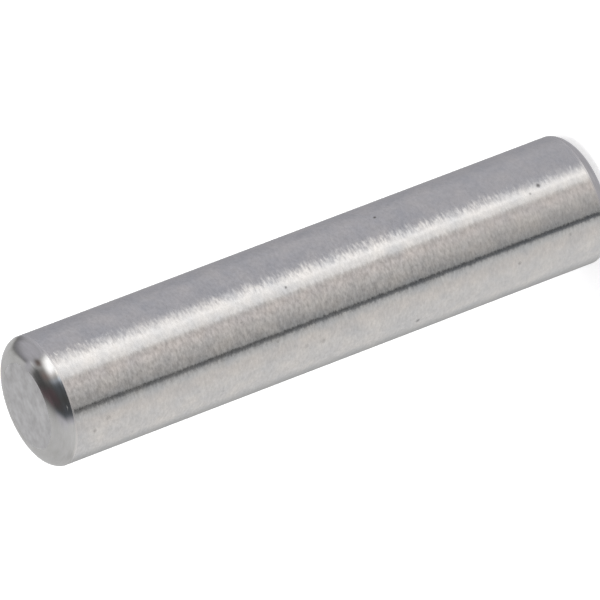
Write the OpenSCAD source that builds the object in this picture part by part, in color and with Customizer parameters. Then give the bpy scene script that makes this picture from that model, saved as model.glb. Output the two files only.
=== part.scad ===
// Needle roller: a plain ground steel pin with rounded ends, standing on one of its flat end faces.
// Millimetres. +Z runs along the roller's axis, and the origin is the centre of the lower end face.

/* [Roller] */
// Diameter of the ground surface that rolls
roller_d = 5; // [3:0.5:8]
// Length over the two end faces
roller_l = 23.8; // [9.8:1:59.8]

/* [Ends] */
// Radius of the rounding at each end, which runs smoothly into the flat end face
end_r = 0.7; // [0.2:0.05:1.4]
// Angle, in degrees, of the fine edge where the ground surface cuts the rounding off
edge_angle = 12; // [0:1:30]

/* [Hidden] */
roller_r = roller_d / 2;
face_r = roller_r - end_r * cos(edge_angle); // radius of the flat that is left on each end face
steel = [0.73, 0.72, 0.71];
$fn = 128;

// Half of the lengthwise section of the rod before grinding, from the axis outwards: it is a little too thick.
module rod_section() {
    // the core, as wide as the flat end faces
    square([face_r, roller_l]);
    // the length between the two roundings
    translate([0, end_r]) square([face_r + end_r, roller_l - 2 * end_r]);
    // the rounding at the lower and at the upper end
    for (centre_z = [end_r, roller_l - end_r])
        translate([face_r, centre_z]) intersection() {
            circle(r = end_r);
            // the outer half of the circle, which keeps the section off the axis
            translate([0, -end_r]) square([end_r, 2 * end_r]);
        }
}

// The same half section once the outer surface is ground to size, which cuts the roundings off at a fine edge.
module half_section() {
    intersection() {
        rod_section();
        square([roller_r, roller_l]);
    }
}

module roller() {
    color(steel) rotate_extrude() half_section();
}

roller();
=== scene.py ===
# Needle roller: a hardened steel roller standing on one of its end faces, on a pale studio floor.
# The outer surface is ground, the rounded corners are polished and the end faces are dull.

import math

import bmesh
import bpy
from mathutils import Matrix, Vector


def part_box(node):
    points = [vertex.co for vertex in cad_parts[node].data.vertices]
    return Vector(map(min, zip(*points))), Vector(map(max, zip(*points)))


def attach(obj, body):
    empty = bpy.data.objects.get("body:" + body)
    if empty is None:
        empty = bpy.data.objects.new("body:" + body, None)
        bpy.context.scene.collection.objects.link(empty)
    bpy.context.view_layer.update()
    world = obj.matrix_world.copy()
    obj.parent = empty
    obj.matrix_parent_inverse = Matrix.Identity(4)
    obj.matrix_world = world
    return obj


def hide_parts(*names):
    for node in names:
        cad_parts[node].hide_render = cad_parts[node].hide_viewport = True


MM = 0.001
CLOSE = 1e-7  # places nearer to each other than this are the same


# ---------------------------------------------------------------- the solid that everything is fitted to

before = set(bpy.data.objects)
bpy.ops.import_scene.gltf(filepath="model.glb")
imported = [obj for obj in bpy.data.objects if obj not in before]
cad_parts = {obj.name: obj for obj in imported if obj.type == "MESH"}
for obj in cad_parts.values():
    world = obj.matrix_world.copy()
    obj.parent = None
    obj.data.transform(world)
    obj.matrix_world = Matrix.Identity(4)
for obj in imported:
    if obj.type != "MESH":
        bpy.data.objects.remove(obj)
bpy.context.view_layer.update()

low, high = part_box("roller")
LENGTH = high.z - low.z
RADIUS = high.x
ROUNDING = 0.7 * MM  # radius of the rounding at each end
EDGE_ANGLE = math.radians(12)  # of the fine edge where the ground surface cuts the rounding off
CORNER = ROUNDING * (1 - math.sin(EDGE_ANGLE))  # how far each rounded corner reaches along the roller
FACE_RADIUS = 1.6 * MM  # the flat of each end face: the polish draws the rounding out to it
START = math.radians(8.67)  # where the drawn-out rounding begins, as a turn round its quarter oval
WIDE = (RADIUS - FACE_RADIUS) / math.cos(START)
TALL = CORNER / (1 - math.sin(START))


# ---------------------------------------------------------------- the roller

SIDES = 192
CORNER_STEPS = 20
FACE_RINGS = (0.04 * MM, 0.36 * MM, 0.5 * MM)  # widths of the rings of an end face, from its rim inwards
LAND = 0.07 * MM  # the narrow bright line where the grinding runs out into the corner
SHARPEST_SMOOTH = math.radians(7)  # edges that turn further than this stay crisp


def deselect_all():
    bpy.ops.object.select_all(action="DESELECT")


def corner_point(step):
    """(distance from the axis, distance past the ground surface) along the rounding of a corner."""
    turn = START + (math.pi / 2 - START) * step / CORNER_STEPS
    return FACE_RADIUS + WIDE * math.cos(turn), TALL * (math.sin(turn) - math.sin(START))


def select_end(mesh, height):
    """Selects the face that closes the roller at a height."""
    bpy.ops.mesh.select_all(action="DESELECT")
    shape = bmesh.from_edit_mesh(mesh)
    for face in shape.faces:
        face.select_set(all(abs(corner.co.z - height) < CLOSE for corner in face.verts))
    bmesh.update_edit_mesh(mesh)


def make_roller():
    deselect_all()
    bpy.ops.mesh.primitive_cylinder_add(
        vertices=SIDES,
        radius=RADIUS,
        depth=LENGTH - 2 * CORNER,
        end_fill_type="NGON",
        location=(0, 0, LENGTH / 2),
    )
    roller = bpy.context.active_object
    roller.name = "needle_roller"
    bpy.ops.object.transform_apply(location=True, rotation=True, scale=True)
    mesh = roller.data

    bpy.ops.object.mode_set(mode="EDIT")
    bpy.ops.mesh.select_mode(type="FACE")
    for sign, start in ((1, LENGTH - CORNER), (-1, CORNER)):
        # the rounded corner, drawn out ring by ring from the end of the ground surface
        select_end(mesh, start)
        for step in range(1, CORNER_STEPS + 1):
            radius, out = corner_point(step)
            before_radius, before_out = corner_point(step - 1)
            bpy.ops.mesh.extrude_region_move(
                TRANSFORM_OT_translate={"value": (0, 0, sign * (out - before_out))}
            )
            scale = radius / before_radius
            bpy.ops.transform.resize(value=(scale, scale, 1), center_override=(0, 0, 0))
        # the flat end face, in rings closed at its middle
        for ring in FACE_RINGS:
            bpy.ops.mesh.inset(thickness=ring, depth=0)
        bpy.ops.mesh.poke()
    # the narrow land beside each corner
    for height in (CORNER + LAND, LENGTH - CORNER - LAND):
        bpy.ops.mesh.select_all(action="SELECT")
        bpy.ops.mesh.bisect(plane_co=(0, 0, height), plane_no=(0, 0, 1), threshold=CLOSE)
    bpy.ops.mesh.select_all(action="SELECT")
    bpy.ops.mesh.normals_make_consistent(inside=False)
    bpy.ops.object.mode_set(mode="OBJECT")
    bpy.ops.object.shade_smooth_by_angle(angle=SHARPEST_SMOOTH)
    return roller


roller = make_roller()


# ---------------------------------------------------------------- node helpers


def add(tree, kind, place, **values):
    """A new node at a place on the node board, with its plain settings."""
    node = tree.nodes.new(kind)
    node.location = place
    for name, value in values.items():
        setattr(node, name, value)
    return node


def math_node(tree, place, operation, first=None, second=None, third=None):
    node = add(tree, "ShaderNodeMath", place, operation=operation)
    for socket, value in zip(node.inputs, (first, second, third)):
        fill(tree, socket, value)
    return node.outputs[0]


def vector_node(tree, place, operation, first=None, second=None, scale=None):
    node = add(tree, "ShaderNodeVectorMath", place, operation=operation)
    fill(tree, node.inputs[0], first)
    fill(tree, node.inputs[1], second)
    if scale is not None:
        fill(tree, node.inputs["Scale"], scale)
    return node.outputs["Value" if operation in ("DOT_PRODUCT", "LENGTH", "DISTANCE") else "Vector"]


def fill(tree, socket, value):
    """Links a socket to another, or sets its value."""
    if value is None:
        return
    if isinstance(value, bpy.types.NodeSocket):
        tree.links.new(value, socket)
    else:
        socket.default_value = value


def map_range(tree, place, value, from_min, from_max, to_min=0.0, to_max=1.0, smooth=False):
    node = add(
        tree,
        "ShaderNodeMapRange",
        place,
        interpolation_type="SMOOTHSTEP" if smooth else "LINEAR",
        clamp=True,
    )
    for name, filling in (
        ("Value", value),
        ("From Min", from_min),
        ("From Max", from_max),
        ("To Min", to_min),
        ("To Max", to_max),
    ):
        fill(tree, node.inputs[name], filling)
    return node.outputs["Result"]


def mix_colour(tree, place, factor, first, second):
    """Goes from the first colour to the second as the factor goes from 0 to 1."""
    node = add(tree, "ShaderNodeMix", place, data_type="RGBA")
    colour_inputs = [socket for socket in node.inputs if socket.type == "RGBA"]
    fill(tree, node.inputs["Factor"], factor)
    fill(tree, colour_inputs[0], first)
    fill(tree, colour_inputs[1], second)
    return next(socket for socket in node.outputs if socket.type == "RGBA")


def colour_ramp(tree, place, value, stops):
    """stops: (position from 0 to 1, (red, green, blue))"""
    node = add(tree, "ShaderNodeValToRGB", place)
    ramp = node.color_ramp
    while len(ramp.elements) < len(stops):
        ramp.elements.new(1.0)
    for element, (position, colour) in zip(ramp.elements, stops):
        element.position = position
        element.color = (*colour, 1)
    fill(tree, node.inputs["Fac"], value)
    return node.outputs["Color"]


def new_group(name, inputs, outputs):
    """A shader node group with named inputs and outputs: each is (name, kind, value it starts with)."""
    tree = bpy.data.node_groups.new(name, "ShaderNodeTree")
    kinds = {"value": "NodeSocketFloat", "vector": "NodeSocketVector", "colour": "NodeSocketColor"}
    for socket_name, kind, start in inputs:
        socket = tree.interface.new_socket(socket_name, in_out="INPUT", socket_type=kinds[kind])
        socket.default_value = start
    for socket_name, kind in outputs:
        tree.interface.new_socket(socket_name, in_out="OUTPUT", socket_type=kinds[kind])
    entry = add(tree, "NodeGroupInput", (-1200, 0))
    end = add(tree, "NodeGroupOutput", (900, 0))
    return tree, entry, end


def use_group(tree, place, group, **values):
    """Places a group on a node board and fills its inputs by name."""
    node = add(tree, "ShaderNodeGroup", place, node_tree=group)
    for name, value in values.items():
        fill(tree, node.inputs[name], value)
    return node


def place_in_mm(tree):
    """The place on the roller, in millimetres."""
    place = add(tree, "ShaderNodeTexCoord", (-1200, -300)).outputs["Object"]
    return vector_node(tree, (-1000, -300), "SCALE", place, scale=1 / MM)


# ---------------------------------------------------------------- shared effects


def make_surface_marks():
    """Fine marks on steel. Streaks run round the roller when Along is larger than Round: both say
    how many marks there are to a millimetre."""
    tree, entry, end = new_group(
        "surface marks",
        [
            ("Round", "value", 1.2),
            ("Along", "value", 14.0),
            ("Tilt", "value", 0.05),
            ("Detail", "value", 3.0),
        ],
        [("Streaks", "value"), ("Clouds", "value"), ("Normal", "vector")],
    )
    in_mm = place_in_mm(tree)
    stretch = add(tree, "ShaderNodeCombineXYZ", (-1000, 0))
    fill(tree, stretch.inputs["X"], entry.outputs["Round"])
    fill(tree, stretch.inputs["Y"], entry.outputs["Round"])
    fill(tree, stretch.inputs["Z"], entry.outputs["Along"])
    stretched = vector_node(tree, (-800, 0), "MULTIPLY", in_mm, stretch.outputs[0])

    streaks = add(tree, "ShaderNodeTexNoise", (-600, 100))
    fill(tree, streaks.inputs["Vector"], stretched)
    fill(tree, streaks.inputs["Scale"], 1.0)
    fill(tree, streaks.inputs["Detail"], entry.outputs["Detail"])
    fill(tree, streaks.inputs["Roughness"], 0.6)

    clouds = add(tree, "ShaderNodeTexNoise", (-600, -300))
    fill(tree, clouds.inputs["Vector"], in_mm)
    fill(tree, clouds.inputs["Scale"], 1.2)
    fill(tree, clouds.inputs["Detail"], 3.0)
    fill(tree, clouds.inputs["Roughness"], 0.55)

    # each streak leans the surface a little to one side
    centred = vector_node(tree, (-350, 0), "SUBTRACT", streaks.outputs["Color"], (0.5, 0.5, 0.5))
    leaning = vector_node(tree, (-150, 0), "SCALE", centred, scale=entry.outputs["Tilt"])
    surface = add(tree, "ShaderNodeNewGeometry", (-350, -150)).outputs["Normal"]
    leant = vector_node(tree, (50, 0), "ADD", surface, leaning)
    normal = vector_node(tree, (250, 0), "NORMALIZE", leant)

    fill(tree, end.inputs["Streaks"], streaks.outputs["Fac"])
    fill(tree, end.inputs["Clouds"], clouds.outputs["Fac"])
    fill(tree, end.inputs["Normal"], normal)
    return tree


def make_pit():
    """One tiny dark pit at a point of the surface, in millimetres, added to the pits before it."""
    tree, entry, end = new_group(
        "pit",
        [
            ("Place", "vector", (0, 0, 0)),
            ("Size", "value", 0.06),
            ("Depth", "value", 1.0),
            ("Before", "value", 0.0),
        ],
        [("Mask", "value")],
    )
    away = vector_node(tree, (-700, 0), "DISTANCE", place_in_mm(tree), entry.outputs["Place"])
    share = math_node(tree, (-450, 0), "DIVIDE", away, entry.outputs["Size"])
    rim, bottom = 1.5, 0.2  # as shares of the pit's size
    mask = map_range(tree, (-200, 0), share, rim, bottom, 0.0, entry.outputs["Depth"], smooth=True)
    mask = math_node(tree, (100, 0), "MAXIMUM", mask, entry.outputs["Before"])
    fill(tree, end.inputs["Mask"], mask)
    return tree


def make_swell():
    """Strength that rises on one side of the roller. Centre is a direction in radians, round
    from the -Y side towards +X, and Start and Full are levels of a cosine wave round it."""
    tree, entry, end = new_group(
        "swell",
        [("Centre", "value", 0.0), ("Start", "value", 0.0), ("Full", "value", 1.0)],
        [("Strength", "value")],
    )
    place = add(tree, "ShaderNodeSeparateXYZ", (-1000, -300))
    fill(tree, place.inputs[0], add(tree, "ShaderNodeTexCoord", (-1200, -300)).outputs["Object"])
    toward = math_node(tree, (-800, -300), "MULTIPLY", place.outputs["Y"], -1.0)
    turn = math_node(tree, (-600, -300), "ARCTAN2", place.outputs["X"], toward)
    turn = math_node(tree, (-400, 0), "SUBTRACT", turn, entry.outputs["Centre"])
    wave = math_node(tree, (0, 0), "COSINE", turn)
    strength = map_range(tree, (250, 0), wave, entry.outputs["Start"], entry.outputs["Full"], smooth=True)
    fill(tree, end.inputs["Strength"], strength)
    return tree


def make_stretch_of_length():
    """Strength that rises round a height on the roller: full within Near of it and gone beyond Far,
    in millimetres."""
    tree, entry, end = new_group(
        "stretch of length",
        [("Height", "value", 12.0), ("Near", "value", 2.0), ("Far", "value", 6.0)],
        [("Strength", "value")],
    )
    place = add(tree, "ShaderNodeSeparateXYZ", (-800, -300))
    fill(tree, place.inputs[0], place_in_mm(tree))
    away = math_node(tree, (-600, 0), "SUBTRACT", place.outputs["Z"], entry.outputs["Height"])
    away = math_node(tree, (-400, 0), "ABSOLUTE", away)
    strength = map_range(tree, (0, 0), away, entry.outputs["Far"], entry.outputs["Near"], smooth=True)
    fill(tree, end.inputs["Strength"], strength)
    return tree


surface_marks = make_surface_marks()
swell = make_swell()
stretch_of_length = make_stretch_of_length()
pit = make_pit()

# pits on the ground surface: (degrees round from the -Y side towards +X, height above the lower face
# in mm, radius in mm, how dark)
PITS = [
    (21, 2.6, 0.085, 1.0),
    (16.5, 3.05, 0.055, 0.45),
    (-38, 4.25, 0.075, 0.45),
    (-29, 2.0, 0.07, 0.3),
    (50.5, 8.9, 0.058, 1.5),
    (-60, 8.6, 0.095, 0.75),
    (16, 13.6, 0.055, 0.8),
    (-39, 13.45, 0.10, 0.35),
    (-40, 12.75, 0.12, 0.35),
    (1.5, 15.8, 0.045, 0.4),
    (-25, 14.6, 0.055, 0.3),
    (-54, 17.0, 0.06, 0.3),
    (-35, 21.86, 0.10, 0.42),
    (-43, 22.45, 0.085, 0.5),
    (130, 6.2, 0.06, 0.8),
    (-150, 11.4, 0.07, 0.8),
    (172, 17.8, 0.05, 0.7),
    (95, 15.1, 0.06, 0.6),
    (-118, 19.0, 0.05, 0.8),
]


# ---------------------------------------------------------------- materials

NOISE = (0.3, 0.7)  # nearly every value of a noise lies between these

# the marks of grinding, each as (where an effect is gone, where it is full)
GROUND_TILT = (0.06, 0.24)
COARSENING = (1.0, 1.4)  # times the tilt
GROUND_CONTRAST = (0.45, 1.0)
FADING = (1.0, 0.7)  # times the contrast
LINE_TONE = (-0.23, 0.23)  # the darkest and the lightest fine line, beside the steel's own tone

# how rough each steel is, as (from, to) or the same all over
GROUND_ROUGHNESS = (0.10, 0.15)
POLISHED_ROUGHNESS = (0.08, 0.13)
DULL_ROUGHNESS = (0.50, 0.60)
EDGE_ROUGHNESS = 0.3

PIT_STRENGTH = 0.5  # how far a pit of depth 1 takes on its colour
PIT_COLOUR = (0.11, 0.10, 0.09, 1)


def new_steel(name):
    """A metal whose shader still wants its colour, roughness and normal."""
    material = bpy.data.materials.new(name)
    material.use_nodes = True
    tree = material.node_tree
    tree.nodes.clear()
    shader = add(tree, "ShaderNodeBsdfPrincipled", (600, 0))
    output = add(tree, "ShaderNodeOutputMaterial", (900, 0))
    tree.links.new(shader.outputs["BSDF"], output.inputs["Surface"])
    shader.inputs["Metallic"].default_value = 1.0
    return material, tree, shader


def make_ground_steel():
    material, tree, shader = new_steel("ground steel")
    # the marks lean most on one side of the roller, and there most of all round one height
    leaning = use_group(tree, (-900, 200), swell, Centre=math.radians(33), Start=0.963, Full=0.994)
    tilt = map_range(tree, (-750, 200), leaning.outputs["Strength"], 0.0, 1.0, *GROUND_TILT)
    coarse = use_group(tree, (-900, 400), stretch_of_length, Height=10.0, Near=3.5, Far=8.0)
    coarse = map_range(tree, (-750, 400), coarse.outputs["Strength"], 0.0, 1.0, *COARSENING)
    tilt = math_node(tree, (-700, 200), "MULTIPLY", tilt, coarse)
    hair = use_group(tree, (-600, 0), surface_marks, Round=3.5, Along=11.0, Tilt=tilt, Detail=3.0)
    grain = use_group(tree, (-600, -300), surface_marks, Round=5.5, Along=10.0, Tilt=0.0, Detail=4.0)
    cool, warm = (0.585, 0.59, 0.60), (0.695, 0.68, 0.662)
    tone = colour_ramp(tree, (-300, 200), grain.outputs["Clouds"], [(NOISE[0], cool), (NOISE[1], warm)])
    # fine lines show most on another side, and least near the lower end
    showing = use_group(tree, (-900, -100), swell, Centre=math.radians(-6), Start=0.93, Full=0.98)
    contrast = map_range(tree, (-750, -100), showing.outputs["Strength"], 0.0, 1.0, *GROUND_CONTRAST)
    fine = use_group(tree, (-900, -400), stretch_of_length, Height=0.0, Near=4.0, Far=9.0)
    fine = map_range(tree, (-750, -400), fine.outputs["Strength"], 0.0, 1.0, *FADING)
    contrast = math_node(tree, (-700, -100), "MULTIPLY", contrast, fine)
    lines = map_range(tree, (-300, -50), grain.outputs["Streaks"], *NOISE, *LINE_TONE)
    lines = math_node(tree, (-150, -50), "MULTIPLY", lines, contrast)
    lines = math_node(tree, (-100, -50), "ADD", lines, 1.0)
    lined = vector_node(tree, (-50, 200), "SCALE", tone, scale=lines)
    spots = 0.0
    for count, (turn, height, size, depth) in enumerate(PITS):
        turn = math.radians(turn)
        spot = use_group(
            tree,
            (-1200, 300 - 180 * count),
            pit,
            Place=(RADIUS / MM * math.sin(turn), -RADIUS / MM * math.cos(turn), height),
            Size=size,
            Depth=depth,
            Before=spots,
        )
        spots = spot.outputs["Mask"]
    dark = math_node(tree, (50, -250), "MULTIPLY", spots, PIT_STRENGTH)
    colour = mix_colour(tree, (300, 200), dark, lined, PIT_COLOUR)
    rough = map_range(tree, (-50, -50), hair.outputs["Streaks"], *NOISE, *GROUND_ROUGHNESS)
    rough = math_node(tree, (300, -50), "ADD", rough, dark)
    fill(tree, shader.inputs["Base Color"], colour)
    fill(tree, shader.inputs["Roughness"], rough)
    fill(tree, shader.inputs["Normal"], hair.outputs["Normal"])
    return material


def make_marked_steel(name, marks_of, darker, lighter, roughness):
    """Steel whose tone follows its marks. Its roughness is plain, or goes (from, to) in clouds."""
    material, tree, shader = new_steel(name)
    marks = use_group(tree, (-600, 0), surface_marks, **marks_of)
    stops = [(NOISE[0], darker), (NOISE[1], lighter)]
    fill(tree, shader.inputs["Base Color"], colour_ramp(tree, (-300, 200), marks.outputs["Streaks"], stops))
    if isinstance(roughness, tuple):
        roughness = map_range(tree, (-300, -100), marks.outputs["Clouds"], *NOISE, *roughness)
    fill(tree, shader.inputs["Roughness"], roughness)
    fill(tree, shader.inputs["Normal"], marks.outputs["Normal"])
    return material


ground_steel = make_ground_steel()
# the steel of the land is lighter than the ground steel beside it: its lighter tone is a painted highlight
# for the bright line along the edge, on top of the land's own reflection
edge_steel_with_painted_highlight = make_marked_steel(
    "edge steel",
    {"Round": 4.0, "Along": 4.0, "Tilt": 0.08, "Detail": 2.0},
    (0.67, 0.66, 0.66),
    (0.73, 0.72, 0.715),
    EDGE_ROUGHNESS,
)
polished_steel = make_marked_steel(
    "polished steel",
    {"Round": 1.2, "Along": 9.0, "Tilt": 0.03, "Detail": 3.0},
    (0.575, 0.57, 0.555),
    (0.69, 0.68, 0.68),
    POLISHED_ROUGHNESS,
)
# the end faces' steel runs from light grey up to white, far lighter than the other steels: the light end is
# painted light that brightens the end faces, the spread is their mottling
dull_steel_with_painted_light = make_marked_steel(
    "dull steel",
    {"Round": 2.2, "Along": 2.2, "Tilt": 0.10, "Detail": 2.5},
    (0.74, 0.735, 0.735),
    (1.0, 1.0, 1.0),
    DULL_ROUGHNESS,
)

for material in (ground_steel, edge_steel_with_painted_highlight, polished_steel, dull_steel_with_painted_light):
    roller.data.materials.append(material)
GROUND, EDGE, POLISHED, DULL = range(4)
DULL_DEPTH = 0.001 * MM  # the dull steel takes in the last step of the rounding

for face in roller.data.polygons:
    from_end = min(face.center.z, LENGTH - face.center.z)
    if from_end < DULL_DEPTH:
        face.material_index = DULL
    elif from_end < CORNER:
        face.material_index = POLISHED
    elif from_end < CORNER + LAND:
        face.material_index = EDGE
    else:
        face.material_index = GROUND

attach(roller, "root")
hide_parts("roller")


# ---------------------------------------------------------------- camera

TILT = math.radians(24.3)  # how far the camera looks down on the standing roller
ROLL = math.radians(20.86)  # how far it is rolled from the roller lying straight across the view
DISTANCE = 480 * MM
VIEW_WIDTH = 21.978 * MM  # how much the view takes in at the roller's middle
TO_THE_RIGHT = 0.2527 * MM  # how far right of the middle of the view the roller's middle lies
UPWARD = 0.01465 * MM  # and how far above it
SENSOR = 36  # in mm, as Blender counts lenses
NEAREST, FARTHEST = 10 * MM, 5  # what the camera can see

back = Vector((0, -math.cos(TILT), math.sin(TILT)))
along = Vector((0, math.sin(TILT), math.cos(TILT)))
across = Vector((-1, 0, 0))
right = -math.cos(ROLL) * along + math.sin(ROLL) * across
up = -math.sin(ROLL) * along - math.cos(ROLL) * across


def turn_to(obj, x_axis, y_axis, z_axis):
    """Turns an object so that its own axes point along these."""
    columns = [[x_axis[i], y_axis[i], z_axis[i]] for i in range(3)]
    obj.rotation_mode = "QUATERNION"
    obj.rotation_quaternion = Matrix(columns).to_quaternion()


camera_data = bpy.data.cameras.new("camera")
camera_data.sensor_width = SENSOR
camera_data.lens = DISTANCE / VIEW_WIDTH * SENSOR
camera_data.clip_start = NEAREST
camera_data.clip_end = FARTHEST
camera = bpy.data.objects.new("camera", camera_data)
bpy.context.scene.collection.objects.link(camera)
middle = Vector((0, 0, LENGTH / 2))
camera.location = middle + back * DISTANCE - right * TO_THE_RIGHT - up * UPWARD
turn_to(camera, right, up, back)
bpy.context.scene.camera = camera


# ---------------------------------------------------------------- floor

FLOOR_SIZE = 3
FLOOR_COLOUR = (0.88, 0.88, 0.88, 1)
FLOOR_LIFT = 0.52  # what the camera alone sees on top of the floor's own light
WHITE = (1, 1, 1, 1)


def make_floor_material():
    material = bpy.data.materials.new("pale floor")
    material.use_nodes = True
    tree = material.node_tree
    tree.nodes.clear()
    output = add(tree, "ShaderNodeOutputMaterial", (600, 0))
    seen = add(tree, "ShaderNodeLightPath", (-400, 0)).outputs["Is Camera Ray"]
    pale = add(tree, "ShaderNodeBsdfDiffuse", (0, 100))
    pale.inputs["Color"].default_value = FLOOR_COLOUR
    lift = add(tree, "ShaderNodeEmission", (0, -100))
    lift.inputs["Color"].default_value = WHITE
    fill(tree, lift.inputs["Strength"], math_node(tree, (-200, -100), "MULTIPLY", seen, FLOOR_LIFT))
    both = add(tree, "ShaderNodeAddShader", (200, 0))
    tree.links.new(pale.outputs[0], both.inputs[0])
    tree.links.new(lift.outputs[0], both.inputs[1])
    # a camera below the floor looks through it
    underside = add(tree, "ShaderNodeNewGeometry", (-400, 300)).outputs["Backfacing"]
    from_below = math_node(tree, (-200, 300), "MULTIPLY", underside, seen)
    clear = add(tree, "ShaderNodeBsdfTransparent", (200, -150))
    sheet = add(tree, "ShaderNodeMixShader", (400, 0))
    fill(tree, sheet.inputs[0], from_below)
    tree.links.new(both.outputs[0], sheet.inputs[1])
    tree.links.new(clear.outputs[0], sheet.inputs[2])
    tree.links.new(sheet.outputs[0], output.inputs["Surface"])
    return material


deselect_all()
bpy.ops.mesh.primitive_plane_add(size=FLOOR_SIZE, location=(0, 0, 0))
floor = bpy.context.active_object
floor.name = "floor"
# the steel shows the studio round it, and not the patch of floor that it stands on
floor.visible_glossy = False
floor.data.materials.append(make_floor_material())


# ---------------------------------------------------------------- studio

# The studio is a white tent round the roller. Its own level is a plane that the roller lies along:
# studio_up points to the soft box, studio_front to the open front.
FRONT_ANGLE = math.radians(42.8)
studio_up = Vector((math.cos(FRONT_ANGLE), -math.sin(FRONT_ANGLE), 0))
studio_front = Vector((-math.sin(FRONT_ANGLE), -math.cos(FRONT_ANGLE), 0))

# tints, which a level multiplies
PLAIN = (1.0, 1.0, 1.0)
CREAM = (1.02, 1.0, 0.985)
WARM = (1.04, 1.0, 0.97)
PINK = (1.07, 1.0, 0.97)
VIOLET = (1.01, 1.0, 1.07)
BLUE = (0.92, 1.0, 1.12)
BROWN = (1.2, 0.95, 0.9)
PLUM = (1.25, 0.93, 1.01)


def tinted(level, tint):
    return tuple(level * part for part in tint)


def ramp_stops(stops, start, end):
    """(place, level, tint) from start to end, as stops of a colour ramp."""
    return [((place - start) / (end - start), tinted(level, tint)) for place, level, tint in stops]


# what the ground surface mirrors, by degrees above the studio's front: (degrees, level, tint)
SIDE = [
    (-180, 0.45, VIOLET),
    (-165, 0.41, VIOLET),
    (-137, 0.37, PLAIN),
    (-127, 0.39, PLAIN),
    (-108, 0.52, PLAIN),
    (-97, 0.65, PLAIN),
    (-84, 0.80, CREAM),
    (-46, 0.805, CREAM),
    (-29, 0.77, WARM),
    (-19, 0.74, WARM),
    (-9, 0.68, PLAIN),
    (-2, 0.50, PLAIN),
    (9, 0.39, PLAIN),
    (22, 0.50, WARM),
    (36, 0.62, WARM),
    (50, 0.715, PINK),
    (57, 0.64, PINK),
    (62, 0.72, WARM),
    (66, 1.00, CREAM),
    (77, 1.17, CREAM),
    (84, 1.34, CREAM),
    (110, 1.34, CREAM),
    (114, 0.55, VIOLET),
    (152, 0.54, VIOLET),
    (180, 0.45, VIOLET),
]

# what the rounded upper corner mirrors, beside the ground surface, higher up and beside the end face:
# (place across the corner's width, level, tint)
CORNER_LOW = [
    (-1.3, 0.76, PLAIN),
    (-1.0, 0.71, PLAIN),
    (-0.9, 0.58, VIOLET),
    (-0.7, 0.14, BLUE),
    (-0.6, 0.09, BLUE),
    (-0.2, 0.08, PLAIN),
    (0.2, 0.115, BLUE),
    (0.3, 0.17, BLUE),
    (0.4, 0.42, BLUE),
    (0.5, 0.46, PLAIN),
    (0.6, 0.70, WARM),
    (0.7, 1.25, PLAIN),
    (0.8, 1.60, PLAIN),
    (1.05, 1.60, PLAIN),
    (1.2, 0.79, PLAIN),
    (1.5, 0.50, VIOLET),
    (1.9, 0.48, VIOLET),
]
CORNER_HIGH = [
    (-1.3, 0.66, PLAIN),
    (-1.0, 0.61, VIOLET),
    (-0.9, 0.55, VIOLET),
    (-0.7, 0.14, BLUE),
    (-0.6, 0.085, PLAIN),
    (-0.3, 0.075, PLUM),
    (0.0, 0.085, PLUM),
    (0.2, 0.10, PLAIN),
    (0.4, 0.16, PLAIN),
    (0.6, 0.21, BROWN),
    (0.8, 0.27, WARM),
    (0.92, 0.47, PLAIN),
    (1.0, 0.18, BROWN),
    (1.12, 0.13, BROWN),
    (1.3, 0.37, PLAIN),
    (1.5, 0.49, VIOLET),
    (1.9, 0.48, VIOLET),
]
CORNER_OVER = [
    (-1.3, 0.62, PLAIN),
    (-1.1, 0.58, PLAIN),
    (-1.0, 0.52, PLAIN),
    (-0.7, 0.19, PLAIN),
    (-0.6, 0.12, PLUM),
    (-0.3, 0.09, PLUM),
    (0.2, 0.08, PLAIN),
    (0.6, 0.10, PLAIN),
    (0.8, 0.12, PLAIN),
    (0.86, 0.16, PLAIN),
    (0.92, 0.36, PLAIN),
    (1.0, 0.46, PLAIN),
    (1.1, 0.57, VIOLET),
    (1.3, 0.49, VIOLET),
    (1.9, 0.44, VIOLET),
]
CORNER_FROM, CORNER_TO = -1.3, 1.9
CORNER_SPREAD = 2.0  # puts the sides of the corner's dark part near -1 and 1

# the wall behind the roller, by degrees from straight behind towards +X: a dark gap lies beside it
WALL = [
    (0, 0.60, PLAIN),
    (27, 0.62, PLAIN),
    (32.5, 0.43, PLAIN),
    (36, 0.25, PLAIN),
    (41, 0.27, VIOLET),
    (47, 0.34, VIOLET),
    (54, 0.43, VIOLET),
    (62, 0.49, VIOLET),
    (75, 0.51, VIOLET),
    (180, 0.50, VIOLET),
]
WALL_SLANT = math.radians(30)  # how far the gap has moved round, from level to straight up or down
TABLE = tinted(0.50, VIOLET)
TABLE_SHARE = 0.9  # of what lies beyond the table's edge, the rest is tent

# small lamps that show in the dark part of the corner: (direction, size, level)
SMALL_LAMPS = [
    ((-0.404, -0.766, 0.5), 0.06, 0.8),
    ((0.339, 0.533, 0.775), 0.07, 0.75),
]
SMALL_LAMP_CORE = 0.01  # the size of its full level

# Where one part of the studio goes over into the next, each as (from, to). By how far up or back a
# direction reaches:
TABLE_EDGE = (-0.50, -0.62)
CORNER_FOOT = (-0.12, 0.06)
WALL_FOOT = (-0.34, -0.20)
WALL_TOP = (0.40, 0.28)
FAR_BACK = (0.3, 0.6)
# By how far it lies from the direction that the end face mirrors:
HIGHER_UP = (1.60, 1.02)
OVERHEAD = (1.02, 0.62)
LEFT_DRAWS_IN = (1.4, 0.2)
RIGHT_DRAWS_IN = (0.55, 0.1)
STREAK_STARTS = (1.77, 1.91)
# By its place across the corner's width:
BESIDE = (1.14, 1.30)
LEFT_PART = (0.0, 0.5)
RIGHT_PART = (0.4, 0.65)
STREAK_LEFT = (0.05, 0.60)
STREAK_RIGHT = (0.78, 0.60)

# how far each side draws in, across the corner's width, and how much the streak adds to the light
LEFT_PULL = 0.72
RIGHT_PULL = 0.25
STREAK_STRENGTH = 2.0


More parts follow.
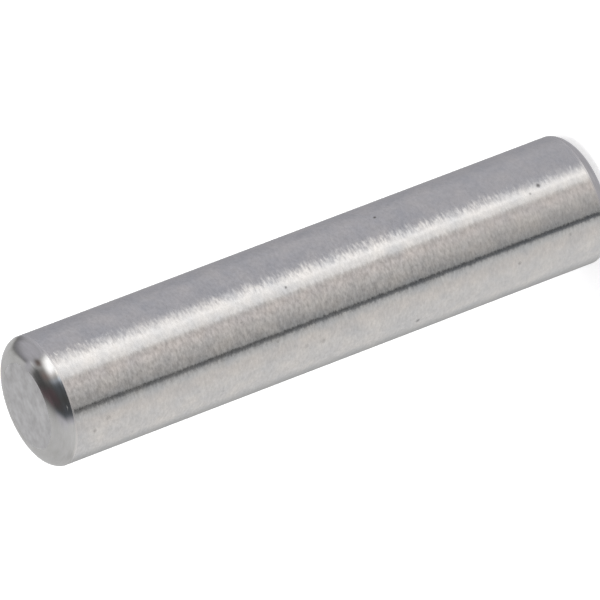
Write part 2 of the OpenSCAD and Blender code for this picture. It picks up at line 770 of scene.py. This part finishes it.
def make_side_light(tree, direction, height):
    """What the ground surface mirrors: the tent, the soft box and the table."""
    upward = vector_node(tree, (-950, 400), "DOT_PRODUCT", direction, tuple(studio_up))
    forward = vector_node(tree, (-950, 200), "DOT_PRODUCT", direction, tuple(studio_front))
    turn = math_node(tree, (-700, 300), "ARCTAN2", upward, forward)
    turn = map_range(tree, (-500, 300), turn, -math.pi, math.pi)
    light = colour_ramp(tree, (-250, 400), turn, ramp_stops(SIDE, -180, 180))
    to_table = map_range(tree, (-250, 150), height, *TABLE_EDGE, 0.0, TABLE_SHARE, smooth=True)
    return mix_colour(tree, (50, 300), to_table, light, (*TABLE, 1))


def make_corner_light(tree, width, apart):
    """What the upper corner mirrors, by the place across its width and the distance from the direction
    that the end face mirrors."""
    # the dark part of the studio draws in from its left side as the end face comes nearer
    draw_left = map_range(tree, (-700, -300), apart, *LEFT_DRAWS_IN, 0.0, LEFT_PULL)
    left_part = map_range(tree, (-700, -450), width, *LEFT_PART, 1.0, 0.0)
    left_pull = math_node(tree, (-600, -300), "MULTIPLY", draw_left, left_part)
    # and a little from its right side
    draw_right = map_range(tree, (-700, -600), apart, *RIGHT_DRAWS_IN, 0.0, RIGHT_PULL)
    right_part = map_range(tree, (-700, -750), width, *RIGHT_PART)
    right_pull = math_node(tree, (-600, -600), "MULTIPLY", draw_right, right_part)
    width = math_node(tree, (-600, 0), "SUBTRACT", width, left_pull)
    width = math_node(tree, (-550, 0), "ADD", width, right_pull)
    # a streak of light runs down from the soft box beside the ground surface
    streak = map_range(tree, (-400, 300), apart, *STREAK_STARTS, 0.0, STREAK_STRENGTH, smooth=True)
    streak_left = map_range(tree, (-400, 450), width, *STREAK_LEFT)
    streak_right = map_range(tree, (-400, 600), width, *STREAK_RIGHT)
    inside = math_node(tree, (-250, 450), "MINIMUM", streak_left, streak_right)
    streak = math_node(tree, (-100, 450), "MULTIPLY_ADD", inside, streak, 1.0)

    width = map_range(tree, (-500, 0), width, CORNER_FROM, CORNER_TO)
    low_light = colour_ramp(tree, (-250, 0), width, ramp_stops(CORNER_LOW, CORNER_FROM, CORNER_TO))
    low_light = vector_node(tree, (-50, 0), "SCALE", low_light, scale=streak)
    high_light = colour_ramp(tree, (-250, -250), width, ramp_stops(CORNER_HIGH, CORNER_FROM, CORNER_TO))
    over_light = colour_ramp(tree, (-250, -500), width, ramp_stops(CORNER_OVER, CORNER_FROM, CORNER_TO))
    higher_up = map_range(tree, (-250, -750), apart, *HIGHER_UP, smooth=True)
    overhead = map_range(tree, (-250, -950), apart, *OVERHEAD, smooth=True)
    light = mix_colour(tree, (50, 0), higher_up, low_light, high_light)
    return mix_colour(tree, (200, 0), overhead, light, over_light)


def make_wall_light(tree, split):
    """The wall behind the roller, with its gap."""
    bearing = math_node(tree, (50, -1200), "ARCTAN2", split.outputs["X"], split.outputs["Y"])
    from_level = math_node(tree, (50, -1400), "ABSOLUTE", split.outputs["Z"])
    bearing = math_node(tree, (150, -1200), "MULTIPLY_ADD", from_level, WALL_SLANT, bearing)
    bearing = map_range(tree, (200, -1200), bearing, 0, math.pi)
    return colour_ramp(tree, (350, -1200), bearing, ramp_stops(WALL, 0, 180))


def make_studio_world():
    """The tent with its soft box, table, wall and small lamps, by direction alone."""
    world = bpy.data.worlds.new("studio")
    world.use_nodes = True
    tree = world.node_tree
    tree.nodes.clear()
    output = add(tree, "ShaderNodeOutputWorld", (1500, 0))
    background = add(tree, "ShaderNodeBackground", (1300, 0))
    tree.links.new(background.outputs[0], output.inputs["Surface"])
    direction = add(tree, "ShaderNodeTexCoord", (-1200, 0)).outputs["Generated"]
    split = add(tree, "ShaderNodeSeparateXYZ", (-950, -300))
    fill(tree, split.inputs[0], direction)
    height = split.outputs["Z"]

    # the end face mirrors the direction called beyond, and the corner's width closes in on it
    beyond = Vector((0, math.cos(TILT), math.sin(TILT)))
    apart = vector_node(tree, (-950, 0), "DISTANCE", direction, tuple(beyond))
    sideways = math_node(tree, (-800, -150), "MULTIPLY", split.outputs["X"], CORNER_SPREAD)
    width = math_node(tree, (-800, 0), "DIVIDE", sideways, apart)
    light = make_corner_light(tree, width, apart)

    # the wall takes over behind the roller and beside the corner's width
    far_back = map_range(tree, (50, -800), split.outputs["Y"], *FAR_BACK, smooth=True)
    below_top = map_range(tree, (50, -1000), height, *WALL_TOP, smooth=True)
    behind = math_node(tree, (250, -800), "MULTIPLY", far_back, below_top)
    beside = map_range(tree, (50, -600), width, *BESIDE, smooth=True)
    behind = math_node(tree, (400, -800), "MAXIMUM", behind, beside)
    light = mix_colour(tree, (550, 0), behind, light, make_wall_light(tree, split))

    for count, (towards, size, level) in enumerate(SMALL_LAMPS):
        reach = vector_node(tree, (450, -500 - 200 * count), "DISTANCE", direction, towards)
        reach = map_range(tree, (600, -500 - 200 * count), reach, size, SMALL_LAMP_CORE, smooth=True)
        light = mix_colour(tree, (750, -200 * count), reach, light, (*tinted(level, PLAIN), 1))

    # below them lies what the ground surface mirrors
    above_foot = map_range(tree, (50, -300), height, *CORNER_FOOT, smooth=True)
    above_wall_foot = map_range(tree, (250, -450), height, *WALL_FOOT, smooth=True)
    above_wall_foot = math_node(tree, (450, -450), "MULTIPLY", above_wall_foot, far_back)
    above = math_node(tree, (600, -300), "MAXIMUM", above_foot, above_wall_foot)
    light = mix_colour(tree, (900, 100), above, make_side_light(tree, direction, height), light)

    # the camera itself sees plain white
    seen = add(tree, "ShaderNodeLightPath", (900, -200)).outputs["Is Camera Ray"]
    fill(tree, background.inputs["Color"], mix_colour(tree, (1100, 0), seen, light, WHITE))
    background.inputs["Strength"].default_value = 1.0
    return world


bpy.context.scene.world = make_studio_world()


# Two cards stand close to the roller, and only its reflections show them.
CARD_DISTANCE = 60 * MM


def make_card(name, degrees, width, height, lean, low_edge=None):
    """A card that faces the roller from an angle above the studio's front, leaning over sideways.
    Its low long side starts at low_edge from straight out, or the card is centred there."""
    angle = math.radians(degrees)
    lean = math.radians(lean)
    facing = math.cos(angle) * studio_front + math.sin(angle) * studio_up
    sideways = math.cos(angle) * studio_up - math.sin(angle) * studio_front
    upright = Vector((0, 0, 1))
    card_up = math.sin(lean) * sideways + math.cos(lean) * upright
    card_side = math.cos(lean) * sideways - math.sin(lean) * upright
    # at this height the camera sees the card mirrored halfway along the roller
    mirrored = LENGTH / 2 - CARD_DISTANCE * math.tan(TILT)
    centre = facing * CARD_DISTANCE + upright * mirrored
    if low_edge is not None:
        centre += sideways * low_edge + card_side * (width / 2)
    deselect_all()
    bpy.ops.mesh.primitive_plane_add(size=1)
    card = bpy.context.active_object
    card.name = name
    card.scale = (width, height, 1)
    card.location = centre
    turn_to(card, card_side, card_up, card_side.cross(card_up))
    card.visible_camera = False
    card.visible_diffuse = False
    card.visible_shadow = False
    return card


def make_card_glow(card, axis, first_colour, second_colour, share, upper_side):
    """The card glows in one colour at the low side of an axis and in another beyond a share of its
    size, and its upper long side glows at a share of its lower one."""
    material = bpy.data.materials.new(card.name)
    material.use_nodes = True
    tree = material.node_tree
    tree.nodes.clear()
    output = add(tree, "ShaderNodeOutputMaterial", (600, 0))
    glow = add(tree, "ShaderNodeEmission", (300, 0))
    place = add(tree, "ShaderNodeSeparateXYZ", (-500, 0))
    fill(tree, place.inputs[0], add(tree, "ShaderNodeTexCoord", (-700, 0)).outputs["Object"])
    # the card's own places go from -0.5 to 0.5
    blend = map_range(tree, (-200, -100), place.outputs[axis], -0.5, -0.5 + share, smooth=True)
    colour = mix_colour(tree, (0, 0), blend, (*first_colour, 1), (*second_colour, 1))
    fade = map_range(tree, (0, -300), place.outputs["X"], -0.5, 0.5, 1.0, upper_side)
    fill(tree, glow.inputs["Color"], colour)
    fill(tree, glow.inputs["Strength"], fade)
    tree.links.new(glow.outputs[0], output.inputs["Surface"])
    card.data.materials.append(material)


# the grey card hides the upper part of the soft box
grey_card = make_card("grey card", 120, 50 * MM, 64 * MM, lean=32.5, low_edge=-47.2 * MM)
make_card_glow(grey_card, "X", tinted(1.34, CREAM), tinted(0.545, VIOLET), share=0.59, upper_side=1.0)
# the dark strip shows as the dark line along the roller
dark_strip = make_card("dark strip", 3.75, 8.3 * MM, 48 * MM, lean=7.2)
make_card_glow(dark_strip, "Y", tinted(0.17, BLUE), tinted(0.30, PLAIN), share=1.0, upper_side=0.25)

# the lamp lights the floor and gives the roller its shadow
LAMP_SIZE = 300 * MM
LAMP_POWER = 0.9
LAMP_PLACE = Vector((80, -50, 420)) * MM

lamp_data = bpy.data.lights.new("soft box", "AREA")
lamp_data.shape = "DISK"
lamp_data.size = LAMP_SIZE
lamp_data.energy = LAMP_POWER
lamp = bpy.data.objects.new("soft box", lamp_data)
bpy.context.scene.collection.objects.link(lamp)
lamp.location = LAMP_PLACE
lamp.rotation_mode = "QUATERNION"
lamp.rotation_quaternion = (-LAMP_PLACE).to_track_quat("-Z", "Y")
lamp.visible_glossy = False

bpy.context.scene.view_settings.view_transform = "Standard"
